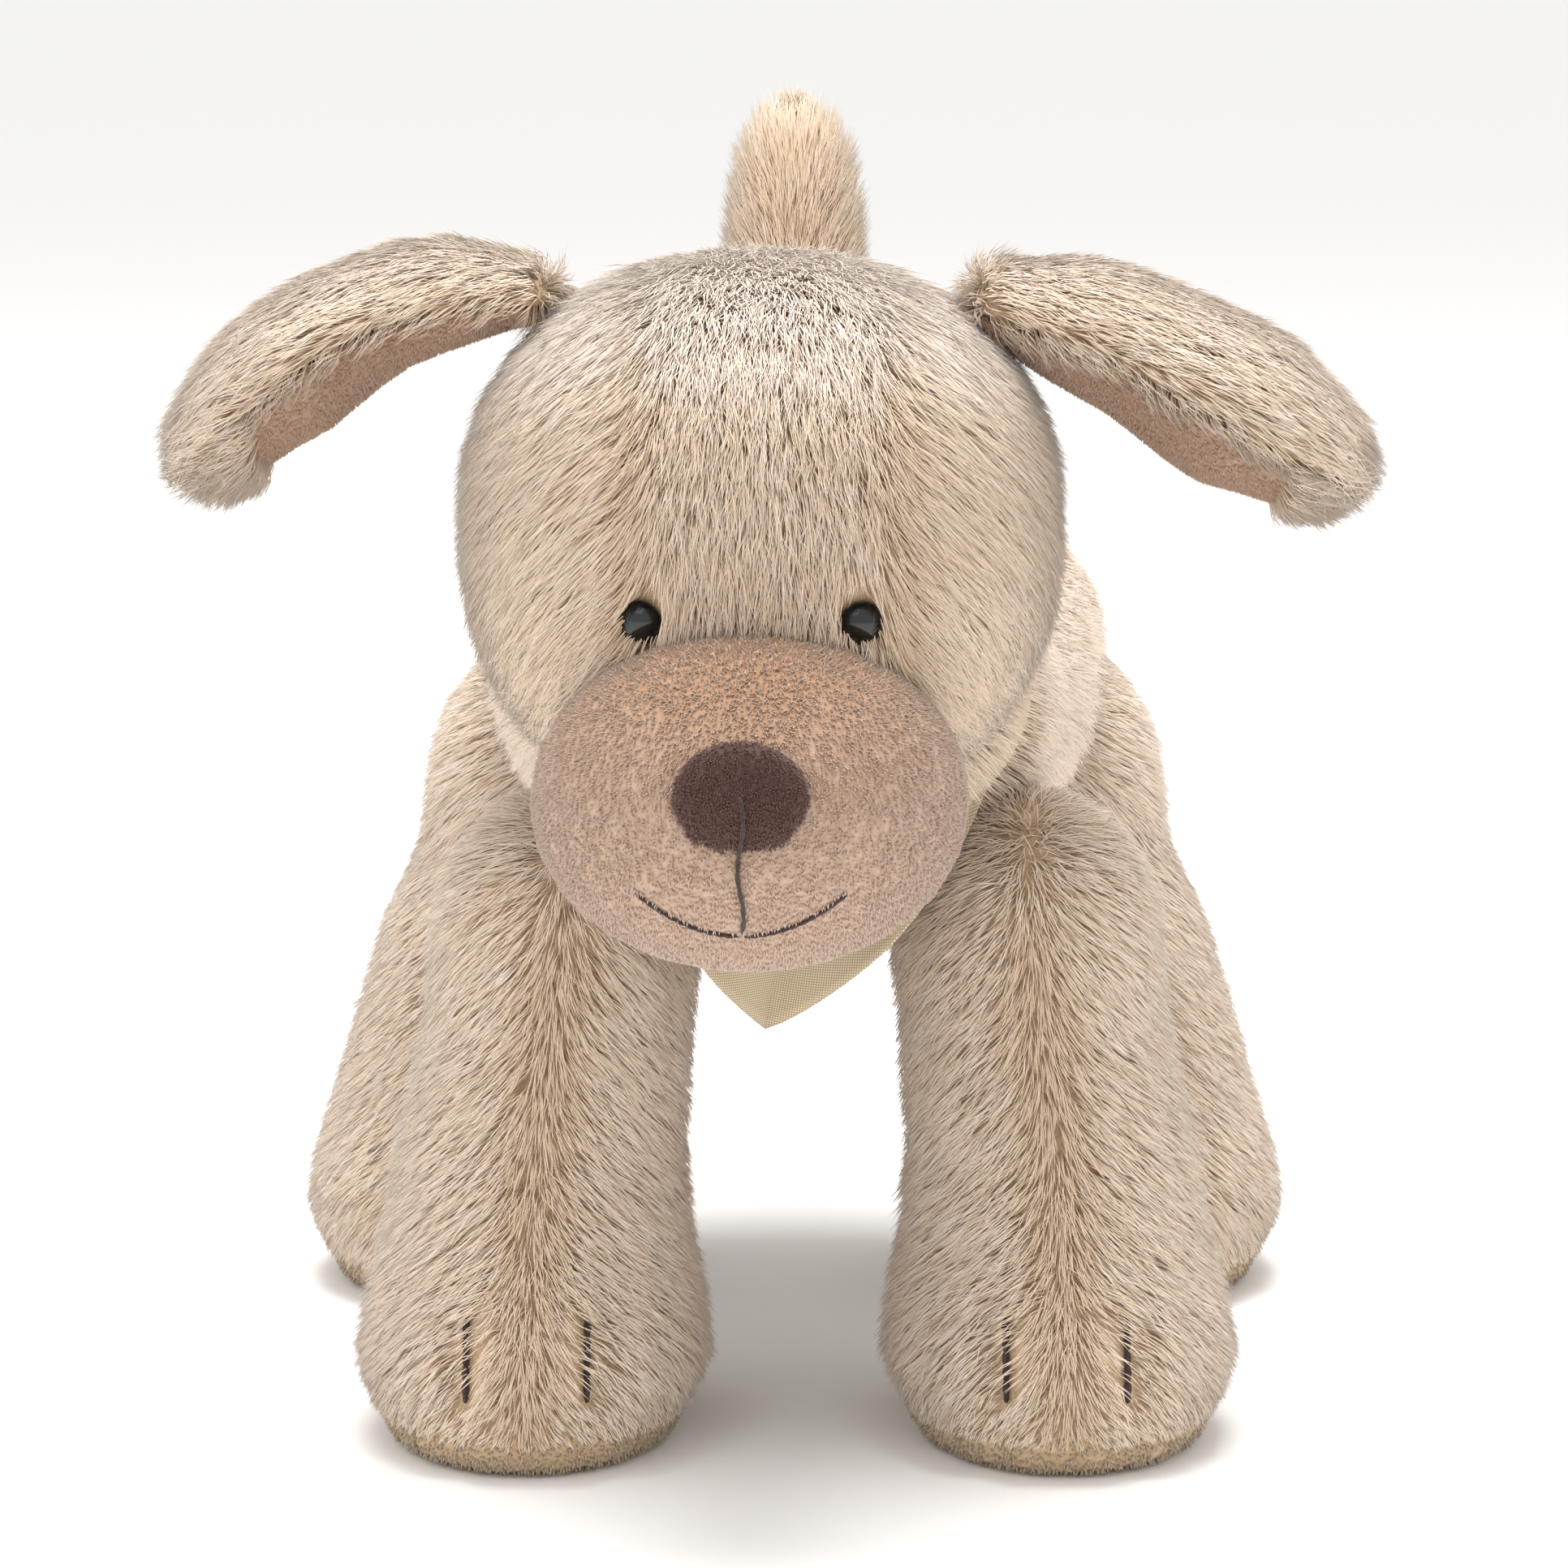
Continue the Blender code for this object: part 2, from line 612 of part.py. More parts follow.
def make_leg(limb, side, sign, holder):
    hip, hip_radius, sections = {
        "front": (FRONT_HIP, FRONT_HIP_RADIUS, FRONT_SECTIONS),
        "hind": (HIND_HIP, HIND_HIP_RADIUS, HIND_SECTIONS),
    }[limb]
    outside = leg_rings(hip, hip_radius, sections, sign, 0.0)
    inside = leg_rings(hip, hip_radius, sections, sign, COVER)
    name = f"leg_{limb}_{side}"
    seat(lofted(f"{name}_cover", inside[::-1] + outside, fur_cloth()), holder)
    sole_outside = sole_rings(sections[-1], sign, 0.0, SOLE_RIM)
    sole_inside = sole_rings(sections[-1], sign, COVER, SOLE_RIM)
    seat(lofted(f"{name}_sole", sole_inside[::-1] + sole_outside, velour_cloth()), holder)
    # The filling runs from the hip down, as the lining that it faces does
    filling = leg_rings(hip, hip_radius, sections, sign, COVER + 2 * GAP)[::-1]
    filling += sole_rings(sections[-1], sign, COVER + 2 * GAP, SOLE_RIM)
    seat(lofted(f"{name}_stuffing", filling, fibre_fill()), holder)
    if limb == "front":
        make_toes(name, sections, sign, holder)


def paw_front(sections, sign, aside, z):
    """Point on the front of a paw, a thread's radius and a gap off it."""
    stations = sorted((s[0], Vector(s[1:])) for s in sections)
    for (low, first), (high, last) in zip(stations, stations[1:]):
        if z <= high:
            x, y, half_width, half_length = first.lerp(last, (z - low) / (high - low))
            break
    lift = THREAD_RADIUS + 3 * GAP
    reach = (half_length + lift) * math.sqrt(1 - (aside / (half_width + lift)) ** 2)
    return Vector((sign * x + aside, y - reach, z))


def make_toes(name, sections, sign, holder):
    for place, aside in (("inner", -sign * TOE_STITCH_ASIDE), ("outer", sign * TOE_STITCH_ASIDE)):
        line = []
        for step in range(5):
            z = TOE_STITCH_FROM + (TOE_STITCH_TO - TOE_STITCH_FROM) * step / 4
            line.append(paw_front(sections, sign, aside, z))
        stitched_line(f"{name}_toe_stitch_{place}", line, thread(), holder)


def tail_rings(inset):
    across = Vector((1, 0, 0))
    rings = []
    radius = TAIL_BASE_RADIUS - inset
    for angle in (-60.0, -30.0, 0.0):
        turn = math.radians(angle)
        at = TAIL_BASE + Vector((0, 0, radius * math.sin(turn)))
        size = radius * math.cos(turn)
        rings.append(oval_ring(at, across, size, Vector((0, 1, 0)), size, TAIL_SIDES))
    for y, z, section_radius in TAIL_SECTIONS:
        size = section_radius - inset
        rings.append(oval_ring(Vector((0, y, z)), across, size, Vector((0, 1, 0)), size, TAIL_SIDES))
    rings.append([TAIL_TIP - Vector((0, 0, inset))])
    return rings


def make_tail(holder):
    outside, inside = tail_rings(0.0), tail_rings(COVER)
    seat(lofted("tail_cover", inside[::-1] + outside, fur_cloth()), holder)
    seat(lofted("tail_stuffing", tail_rings(COVER + GAP)[::-1], fibre_fill()), holder)


# ---------------------------------------------------------------- scarf
def scarf_edge(turn, angle, radius):
    """Point at an angle from the scarf's own axis and a turn round it, 0 at the front."""
    axis = towards(SCARF_TILT)
    front = towards(SCARF_TILT - math.radians(90.0))
    aside = Vector((1, 0, 0))
    rim = front * math.cos(turn) + aside * math.sin(turn)
    return NECK_PIVOT + (axis * math.cos(angle) + rim * math.sin(angle)) * radius


def scarf_row(turn):
    """The section at a turn: top, foot of the band, middle and edge of the hem, inside then outside."""
    base = CHEST_RADIUS + SCARF_LIFT + SCARF_NAPE_LIFT * max(0.0, -math.cos(turn))
    widened = max(0.0, 1.0 - abs(turn) / SCARF_CORNER)
    forward = SCARF_FORWARD * math.sin(math.pi * widened) + SCARF_CLEAR * widened
    drop = Vector((SCARF_ASIDE * widened**2, -forward, -SCARF_DROP * widened))
    row = []
    for radius in (base, base + SCARF_THICK):
        foot_angle = SCARF_ANGLE + SCARF_BAND / 2
        top = scarf_edge(turn, SCARF_ANGLE - SCARF_BAND / 2, radius)
        hem = []
        for share in (0.0, 0.5, 1.0):
            hem.append(scarf_edge(turn, foot_angle + SCARF_HEM * share, radius) + drop * share)
        row.append([top, *hem])
    inner, outer = row
    return inner + outer[::-1]


def make_scarf(holder):
    build = bmesh.new()
    turns = [math.tau * (i - SCARF_STEPS / 2) / SCARF_STEPS for i in range(SCARF_STEPS)]
    loops = [[build.verts.new(point) for point in scarf_row(turn)] for turn in turns]
    inside = len(loops[0]) // 2
    for near, far in zip(loops, loops[1:] + loops[:1]):
        for i in range(len(near)):
            following = (i + 1) % len(near)
            # Inside and outside are cut along the same diagonals, so that the cloth keeps its thickness
            if i < inside:
                build.faces.new((near[i], near[following], far[following]))
                build.faces.new((near[i], far[following], far[i]))
            else:
                build.faces.new((near[i], near[following], far[i]))
                build.faces.new((near[following], far[following], far[i]))
    seat(new_object("scarf", build, canvas_cloth()), holder)


# ---------------------------------------------------------------- assembly
def clear_scene():
    for made in list(bpy.data.objects):
        bpy.data.objects.remove(made, do_unlink=True)


def main():
    clear_scene()
    torso = pivot("torso_frame", Vector())
    torso.location = HOME
    make_torso(torso)
    make_scarf(torso)
    neck = pivot("neck_pivot", NECK_PIVOT, torso)
    make_neck(neck)
    head = pivot("head_pivot", NECK_PIVOT, neck)
    head.rotation_euler = (0, 0, HEAD_TURN)
    make_head(head)
    make_muzzle(head)
    for side, sign in (("left", 1), ("right", -1)):
        base = Vector((HEAD_SHIFT + sign * EAR_BASE.x, EAR_BASE.y, EAR_BASE.z))
        make_ear(side, sign, pivot(f"ear_{side}_pivot", base, head))
        for limb, hip in (("front", FRONT_HIP), ("hind", HIND_HIP)):
            at = Vector((hip.x * sign, hip.y, hip.z))
            make_leg(limb, side, sign, pivot(f"leg_{limb}_{side}_pivot", at, torso))
    make_tail(pivot("tail_pivot", TAIL_BASE, torso))


main()
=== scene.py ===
"""Looks of the standing plush dog: stuffed skins, combed pile, short velour, threads and canvas."""

import math

import bmesh
import bpy
import numpy as np
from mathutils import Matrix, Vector
from mathutils.bvhtree import BVHTree
from mathutils.kdtree import KDTree


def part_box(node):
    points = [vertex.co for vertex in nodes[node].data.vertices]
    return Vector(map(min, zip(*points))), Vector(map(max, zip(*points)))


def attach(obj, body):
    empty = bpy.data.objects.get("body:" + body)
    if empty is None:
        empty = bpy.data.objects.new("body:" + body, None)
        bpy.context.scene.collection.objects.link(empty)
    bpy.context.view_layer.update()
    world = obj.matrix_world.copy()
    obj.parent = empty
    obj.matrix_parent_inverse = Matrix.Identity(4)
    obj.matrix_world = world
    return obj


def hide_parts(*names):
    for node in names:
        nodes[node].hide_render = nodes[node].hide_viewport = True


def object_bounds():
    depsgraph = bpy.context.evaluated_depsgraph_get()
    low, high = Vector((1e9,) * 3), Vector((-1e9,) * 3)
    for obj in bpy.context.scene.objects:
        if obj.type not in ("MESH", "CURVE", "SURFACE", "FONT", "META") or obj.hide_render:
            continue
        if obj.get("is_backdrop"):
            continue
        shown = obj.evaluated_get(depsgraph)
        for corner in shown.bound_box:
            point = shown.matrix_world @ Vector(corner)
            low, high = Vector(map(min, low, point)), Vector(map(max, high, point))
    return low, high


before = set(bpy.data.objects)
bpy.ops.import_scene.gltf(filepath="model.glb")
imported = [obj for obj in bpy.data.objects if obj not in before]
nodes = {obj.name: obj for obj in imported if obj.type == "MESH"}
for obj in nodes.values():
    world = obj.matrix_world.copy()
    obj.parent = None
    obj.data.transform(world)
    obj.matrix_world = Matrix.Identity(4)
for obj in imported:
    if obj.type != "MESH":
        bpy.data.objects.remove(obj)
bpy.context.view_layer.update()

# Places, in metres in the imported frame
HOME = Vector((0.00537, 0.02975, 0.0))  # from the pattern's own middle to the frame
NECK = Vector((0, -0.035, 0.150)) + HOME
NECK_HOLLOW = 0.0555  # no pile grows on the head's inside, within this reach of the neck
HEAD_MIDDLE_X = -0.006 + HOME.x
BROW_SEAM = 0.0235  # from the head's middle, on each side
FLOOR_CLEAR = 0.0004
SIDES = (("left", 1), ("right", -1))
LEGS = [f"leg_{limb}_{side}" for limb in ("front", "hind") for side in ("left", "right")]

# Pile
MOST_STRANDS = 21000  # in one piece
ROOT_SUNK = 0.0003  # each strand starts a little inside its backing
EAR_ROLL = 0.1035  # from the head's middle to where the fur side rolls over the lining
SOLE_TOP = 0.0085  # long pile starts here, and the sole's own pile ends a little above it
PAW_PILE = 0.0096
SEAM_TOP = 0.118  # the front seam of each leg dies out here, under the shoulder
TOE_PULL = 0.0032  # how far to each side a toe stitch pulls the pile in
TOE_PARTING = 0.20  # share of that pull within which no pile lies

# Scarf
SCARF_STEPS, SCARF_ROWS = 144, 20
SCARF_TILT, SCARF_ANGLE, SCARF_BAND = math.radians(50), math.radians(76), math.radians(9)
SCARF_RADIUS = 0.0512
SCARF_NAPE_LIFT = 0.0068
SCARF_CORNER = math.radians(52)  # half the turn over which the corner widens
SCARF_ASIDE, SCARF_DROP = -0.0065, 0.035
SCARF_FORWARD, SCARF_CLEAR = 0.012, 0.003
SCARF_THICK = 0.0006

# Face
EYE_RADIUS, EYE_RISE = 0.0045, 0.0034
EYE_ROWS, EYE_SIDES = 20, 48
EYE_OPENING = 0.0041  # kept clear of pile
PHILTRUM_TOP, PHILTRUM_DROP = 0.1555, 0.0285
SMILE_LOW, SMILE_LIFT, SMILE_WIDE = 0.1264, 0.0085, 0.0195
THREAD_SIDES = 10

# Stuffing: the skins are inflated a little, and no point may move further than this
PUFF_FRAMES = 14
PUFF_PRESSURE = 3.0
PUFF_MOST = 0.0012


# ------------------------------------------------------------ colours and materials
def colour(code):
    """An sRGB hex colour turned linear."""
    channels = [int(code[i : i + 2], 16) / 255 for i in (0, 2, 4)]
    return (*[c / 12.92 if c <= 0.04045 else ((c + 0.055) / 1.055) ** 2.4 for c in channels], 1.0)


def add(tree, kind, settings=None, values=None, links=None):
    """A shader node with its settings, its input values, and its inputs linked from other sockets."""
    node = tree.nodes.new("ShaderNode" + kind)
    for name, value in (settings or {}).items():
        setattr(node, name, value)
    for name, value in (values or {}).items():
        node.inputs[name].default_value = value
    for name, socket in (links or {}).items():
        tree.links.new(socket, node.inputs[name])
    return node


def ramp(tree, factor, stops):
    """A colour ramp from (place, hex colour) stops."""
    node = add(tree, "ValToRGB", links={"Fac": factor})
    elements = node.color_ramp.elements
    elements[0].position, elements[0].color = stops[0][0], colour(stops[0][1])
    elements[1].position, elements[1].color = stops[-1][0], colour(stops[-1][1])
    for place, code in stops[1:-1]:
        elements.new(place).color = colour(code)
    return node.outputs["Color"]


def mixed(tree, factor, first, second, kind="MIX"):
    """Two colours mixed. Each input is a value or another node's socket."""
    node = add(tree, "Mix", {"data_type": "RGBA", "blend_type": kind})
    for index, value in ((0, factor), (6, first), (7, second)):
        if isinstance(value, bpy.types.NodeSocket):
            tree.links.new(value, node.inputs[index])
        else:
            node.inputs[index].default_value = value
    return node.outputs[2]


def new_material(name, roughness, sheen=0.0):
    """A dull Principled material, with its node tree and shader."""
    made = bpy.data.materials.new(name)
    made.use_nodes = True
    shader = made.node_tree.nodes["Principled BSDF"]
    shader.inputs["Roughness"].default_value = roughness
    shader.inputs["Sheen Weight"].default_value = sheen
    shader.inputs["Specular IOR Level"].default_value = 0.2
    return made, made.node_tree, shader


def pile(name, root, dark, light):
    # Polyester pile, dyed in the fibre, each lock its own tone: its root colour is painted shade, darker
    # where the pile is dense, rising to the pale tip
    made, tree, shader = new_material(name, 0.85, 0.15)
    place = add(tree, "UVMap", {"uv_map": "OFBake"}).outputs["UV"]
    parts = add(tree, "SeparateXYZ", links={"Vector": place}).outputs
    tips = ramp(tree, parts["X"], ((0.0, dark), (1.0, light)))
    # Painted shade: the root colour fades out over the lower three quarters of each strand
    rise = ramp(tree, parts["Y"], ((0.0, "000000"), (0.75, "FFFFFF")))
    tree.links.new(mixed(tree, rise, colour(root), tips), shader.inputs["Base Color"])
    return made


def grained(name, roughness, grain, dark, light, bump=0.25, painted_shade_band=None, sheen=0.2):
    """Cloth or plastic with a fine grain of real size in metres, and, where asked, painted shade that deepens
    over its height.
    """
    made, tree, shader = new_material(name, roughness, sheen)
    place = add(tree, "TexCoord").outputs["Object"]
    fine = add(tree, "TexNoise", values={"Scale": 1.0 / grain, "Detail": 3.0}, links={"Vector": place})
    tone = ramp(tree, fine.outputs["Fac"], ((0.32, dark), (0.68, light)))
    # Painted shade: above the low height the tone is multiplied by a darker colour, fully at the high height
    if painted_shade_band:
        height = add(tree, "SeparateXYZ", links={"Vector": place}).outputs["Z"]
        low, high, code = painted_shade_band
        values = {"From Min": low, "From Max": high}
        share = add(tree, "MapRange", values=values, links={"Value": height}).outputs["Result"]
        tone = mixed(tree, share, tone, mixed(tree, 1.0, tone, colour(code), "MULTIPLY"))
    tree.links.new(tone, shader.inputs["Base Color"])
    values = {"Strength": bump, "Distance": grain * 0.4}
    raised = add(tree, "Bump", values=values, links={"Height": fine.outputs["Fac"]})
    tree.links.new(raised.outputs["Normal"], shader.inputs["Normal"])
    return made


def canvas():
    # Plain-weave cotton: warp and weft at a 0.45 mm pitch, each thread pale on its crown and dark in its gap
    made, tree, shader = new_material("canvas_weave", 0.9, 0.1)
    place = add(tree, "UVMap", {"uv_map": "cloth"}).outputs["UV"]
    waves = []
    for direction in ("X", "Y"):
        settings = {"wave_type": "BANDS", "bands_direction": direction}
        wave = add(tree, "TexWave", settings, {"Scale": 0.31 / 0.00045, "Distortion": 0.6}, {"Vector": place})
        waves.append(wave.outputs["Fac"])
    both = add(tree, "Math", {"operation": "MULTIPLY"}, links={0: waves[0], 1: waves[1]}).outputs["Value"]
    tree.links.new(ramp(tree, both, ((0.0, "B29F82"), (0.7, "EADAC0"))), shader.inputs["Base Color"])
    raised = add(tree, "Bump", values={"Strength": 0.35, "Distance": 0.0001}, links={"Height": both})
    tree.links.new(raised.outputs["Normal"], shader.inputs["Normal"])
    return made


# Long pile, brushed and steamed: cream, with painted shade at the roots and paler tips as painted light where
# the locks catch the light
fur_pile = pile("fur_pile", "C9AD90", "E2CAAF", "F8E9DB")
# Backing under the long pile: only glimpsed in partings, so its colour is painted shade, the tone of shaded
# roots
fur_backing = grained("fur_backing", 0.95, 0.0012, "BB9F7F", "D0B694")
# Short-pile velour, shaved level: pinkish brown, with painted shade that makes it browner towards its top
velour_pile = pile("velour_pile", "A98F7B", "BA9D87", "D4BDAF")
velour_backing = grained("velour_backing", 0.95, 0.0011, "A98E79", "C4AA98", 0.4, (0.150, 0.178, "CDB49A"))
# The same velour in the ears, a warmer, darker brown that is painted shade, because it hangs in the fur's
# shade
lining_pile_shaded = pile("lining_pile_shaded", "987A62", "B3937A", "D3B59E")
lining_backing_shaded = grained("lining_backing_shaded", 0.95, 0.0012, "967A68", "B39784", 0.5)
# Dark brown velour, cut as a small patch and stitched flat: almost no shine
nose_pile = pile("nose_pile", "46302A", "634840", "856459")
nose_backing = grained("nose_backing", 0.9, 0.0009, "46322E", "5E4641", 0.4)
# Stiffer, shorter velour under the paws, duller and greyer than the fur above it
sole_pile = pile("sole_pile", "9C8870", "B29E85", "D0BCA2")
sole_backing = grained("sole_backing", 0.95, 0.0012, "9F8C73", "B8A58C", 0.5)
# Moulded acrylic, black with a green cast, polished by its mould
eye_gloss = grained("eye_gloss", 0.06, 0.0030, "0B1010", "141C1A", 0.0, sheen=0.0)
eye_gloss.node_tree.nodes["Principled BSDF"].inputs["Specular IOR Level"].default_value = 0.6
# Mercerised thread, two plies twisted, with a dull shine on each ply
dark_thread = grained("dark_thread", 0.6, 0.0005, "2E2220", "4C3A36", 0.3)
# Carded polyester filling, off-white and matt, and washers pressed from dull white plastic, both hidden
filling = grained("filling", 0.95, 0.0020, "E6E2DB", "F4F1EC", 0.5)
washer_white = grained("washer_white", 0.45, 0.0015, "DEDCD5", "EAE8E2", 0.1)


# ------------------------------------------------------------ skins
def object_of(name, data, *finishes):
    """An object in the scene for a mesh, with its materials."""
    for finish in finishes:
        data.materials.append(finish)
    made = bpy.data.objects.new(name, data)
    bpy.context.scene.collection.objects.link(made)
    return made


def applied(made):
    """The object with its modifiers applied."""
    graph = bpy.context.evaluated_depsgraph_get()
    data = bpy.data.meshes.new_from_object(made.evaluated_get(graph))
    old = made.data
    made.modifiers.clear()
    made.data = data
    bpy.data.meshes.remove(old)
    return made


def points_of(data):
    """The places of a mesh's points, one row each."""
    flat = np.empty(len(data.vertices) * 3)
    data.vertices.foreach_get("co", flat)
    return flat.reshape(-1, 3)


def skin(name, sources, voxel, finish, smooth=4):
    """The outside of these CAD nodes, fused into one soft body of even faces."""
    build = bmesh.new()
    for source in sources:
        build.from_mesh(nodes[source].data)
    data = bpy.data.meshes.new(name)
    build.to_mesh(data)
    build.free()
    made = object_of(name, data, finish)
    remesh = made.modifiers.new("even", "REMESH")
    remesh.mode = "VOXEL"
    remesh.voxel_size = voxel
    soften = made.modifiers.new("soften", "SMOOTH")
    soften.iterations = smooth
    soften.factor = 0.5
    applied(made)
    made.data.shade_smooth()
    return made


def inflate(pieces):
    """Blows the skins up with a cloth simulation, as stuffing does, within a small limit."""
    scene = bpy.context.scene
    starts = {}
    for piece in pieces:
        starts[piece.name] = points_of(piece.data)
        cloth = piece.modifiers.new("stuffing", "CLOTH")
        cloth.settings.quality = 4
        cloth.settings.mass = 0.2
        cloth.settings.use_pressure = True
        cloth.settings.uniform_pressure_force = PUFF_PRESSURE
        cloth.settings.effector_weights.gravity = 0.0
        cloth.settings.tension_stiffness = 20.0
        cloth.settings.compression_stiffness = 20.0
        cloth.settings.bending_stiffness = 0.5
        cloth.collision_settings.use_collision = False
    for step in range(1, PUFF_FRAMES + 1):
        scene.frame_set(step)
    graph = bpy.context.evaluated_depsgraph_get()
    for piece in pieces:
        start = starts[piece.name]
        moved = points_of(piece.evaluated_get(graph).data)
        piece.modifiers.clear()
        step = moved - start
        far = np.linalg.norm(step, axis=1, keepdims=True)
        step *= np.minimum(1.0, PUFF_MOST / np.maximum(far, 1e-9))
        ends = start + step
        ends[:, 2] = np.maximum(ends[:, 2], FLOOR_CLEAR)
        piece.data.vertices.foreach_set("co", ends.ravel())
        piece.data.update()
    scene.frame_set(1)


torso = skin("torso_skin", ["torso_cover", "torso_stuffing"], 0.0035, fur_backing)
head = skin("head_skin", ["head_cover", "head_stuffing"], 0.0032, fur_backing)
muzzle = skin("muzzle_skin", ["muzzle_cover", "muzzle_stuffing"], 0.0020, velour_backing)
nose = skin("nose_skin", ["nose_patch"], 0.0008, nose_backing, 3)
tail = skin("tail_skin", ["tail_cover", "tail_stuffing"], 0.0022, fur_backing)
ear_furs = [skin(f"ear_{s}_fur_skin", [f"ear_{s}_fur"], 0.0018, fur_backing) for s, _ in SIDES]
ear_linings = [skin(f"ear_{s}_lining_skin", [f"ear_{s}_lining"], 0.0015, lining_backing_shaded) for s, _ in SIDES]
legs = [skin(f"{b}_skin", [f"{b}_cover", f"{b}_stuffing", f"{b}_sole"], 0.0030, fur_backing) for b in LEGS]
stuffed = [torso, head, muzzle, tail, *ear_furs, *ear_linings, *legs]
inflate(stuffed)


# ------------------------------------------------------------ pile
def tree_of(made):
    """A search tree over an object's faces."""
    graph = bpy.context.evaluated_depsgraph_get()
    return BVHTree.FromObject(made, graph)


def scattered(data, per_mm2, rng):
    """Roots spread evenly over a mesh: places and smooth normals."""
    data.calc_loop_triangles()
    corners = np.empty(len(data.loop_triangles) * 3, np.int32)
    data.loop_triangles.foreach_get("vertices", corners)
    corners = corners.reshape(-1, 3)
    points = points_of(data)
    normals = np.empty(len(data.vertices) * 3)
    data.vertices.foreach_get("normal", normals)
    normals = normals.reshape(-1, 3)
    a, b, c = (points[corners[:, i]] for i in range(3))
    areas = np.linalg.norm(np.cross(b - a, c - a), axis=1) / 2
    count = int(areas.sum() * 1e6 * per_mm2)
    picked = rng.choice(len(areas), count, p=areas / areas.sum())
    u, v = rng.random(count), rng.random(count)
    over = u + v > 1
    u[over], v[over] = 1 - u[over], 1 - v[over]
    shares = np.stack([1 - u - v, u, v], 1)[:, :, None]
    roots = (points[corners[picked]] * shares).sum(1)
    facing = (normals[corners[picked]] * shares).sum(1)
    return roots, unit(facing)


def unit(vectors):
    """Each row at length 1."""
    return vectors / np.maximum(np.linalg.norm(vectors, axis=1, keepdims=True), 1e-9)


def clear_of(roots, others, room):
    """True for each root that is outside these bodies by at least the room."""
    keep = np.ones(len(roots), bool)
    for other in others:
        for i, root in enumerate(roots):
            if keep[i]:
                at, normal, _, far = other.find_nearest(root, 0.03)
                if at is not None and (far < room or (Vector(root) - at).dot(normal) < 0):
                    keep[i] = False
    return keep


def crossing(roots, tips, sheet_tree):
    """True for each strand that would pass through a sheet."""
    found = np.zeros(len(roots), bool)
    for i, (root, tip) in enumerate(zip(roots, tips)):
        way = Vector(tip - root)
        hit = sheet_tree.ray_cast(Vector(root) - way * 0.1, way.normalized(), way.length * 1.3)
        found[i] = hit[0] is not None
    return found


def strands(roots, normals, comb, length, leans, rng, tuft, gather):
    """Middles and tips of strands in tufts, lying along the comb, and a tone for each."""
    count = len(roots)
    flow = comb(roots, normals)
    # Where the pile faces up it is pressed flatter by handling
    flatter = 22.0 * np.clip((normals[:, 2:] - 0.25) / 0.5, 0, 1)
    flow = flow + rng.normal(0, 0.22, flow.shape)
    flow = unit(flow - normals * (flow * normals).sum(1, keepdims=True))
    reach = length(roots)[:, None] if callable(length) else length
    long = reach * rng.uniform(0.72, 1.12, (count, 1))
    low, high = (np.radians(lean + flatter + rng.normal(0, 6, (count, 1))) for lean in leans)
    middles = roots + (normals * np.cos(low) + flow * np.sin(low)) * long * 0.5
    tips = middles + (normals * np.cos(high) + flow * np.sin(high)) * long * 0.5
    own_tone = rng.random(count)
    # Tufts: each strand's tip is drawn towards that of the nearest leading strand
    leading = min(count, max(1, int(count * (0.0009 / tuft) ** 2 * 3)))
    leaders = rng.choice(count, leading, replace=False)
    near = KDTree(len(leaders))
    for i, leader in enumerate(leaders):
        near.insert(roots[leader], i)
    near.balance()
    lead = leaders[[near.find(root)[1] for root in roots]]
    drawn = (tips[lead] - tips) * gather
    drawn -= normals * np.minimum(0, (drawn * normals).sum(1, keepdims=True)) * 0.5
    tips = tips + drawn
    middles = middles + drawn * 0.35
    tone = 0.55 * rng.random(count)[lead] + 0.45 * own_tone
    return middles, tips, tone


def strand_mesh(name, roots, middles, tips, normals, tone, width, finish):
    """One mesh of three-sided strands, each a root ring, a middle ring and a point."""
    count = len(roots)
    along = unit(tips - roots)
    side = unit(np.cross(along, normals) + 1e-6)
    over = np.cross(side, along)
    points = np.empty((count, 7, 3))
    bends = np.empty((count, 7, 3))
    for k in range(3):
        turn = math.tau * k / 3 + 0.5
        out = side * math.cos(turn) + over * math.sin(turn)
        points[:, k] = roots - normals * ROOT_SUNK + out * width * 0.5
        points[:, 3 + k] = middles + out * width * 0.42
        bends[:, k] = bends[:, 3 + k] = unit(out * 0.6 + normals)
    points[:, 6] = tips
    bends[:, 6] = normals
    points[:, :, 2] = np.maximum(points[:, :, 2], FLOOR_CLEAR)
    pattern = []
    for k in range(3):
        following = (k + 1) % 3
        pattern += [(k, 3 + following, following), (k, 3 + k, 3 + following), (3 + k, 6, 3 + following)]
    faces = (np.array(pattern)[None] + 7 * np.arange(count)[:, None, None]).reshape(-1, 3)
    data = bpy.data.meshes.new(name)
    data.vertices.add(count * 7)
    data.vertices.foreach_set("co", points.ravel())
    data.loops.add(len(faces) * 3)
    data.loops.foreach_set("vertex_index", faces.ravel().astype(np.int32))
    data.polygons.add(len(faces))
    data.polygons.foreach_set("loop_start", np.arange(0, len(faces) * 3, 3, dtype=np.int32))
    data.update(calc_edges=True)
    across = np.array([0.0, 0.015, 0.03, 0.0, 0.015, 0.03, 0.015])
    up = np.array([0.02, 0.02, 0.02, 0.5, 0.5, 0.5, 0.98])
    places = np.empty((count, 7, 2))
    places[:, :, 0] = np.clip(tone, 0, 1)[:, None] * 0.95 + across + 0.005
    places[:, :, 1] = up
    data.uv_layers.new(name="OFBake").data.foreach_set("uv", places.reshape(-1, 2)[faces.ravel()].ravel())
    data.shade_smooth()
    data.normals_split_custom_set_from_vertices(bends.reshape(-1, 3))
    return object_of(name, data, finish)


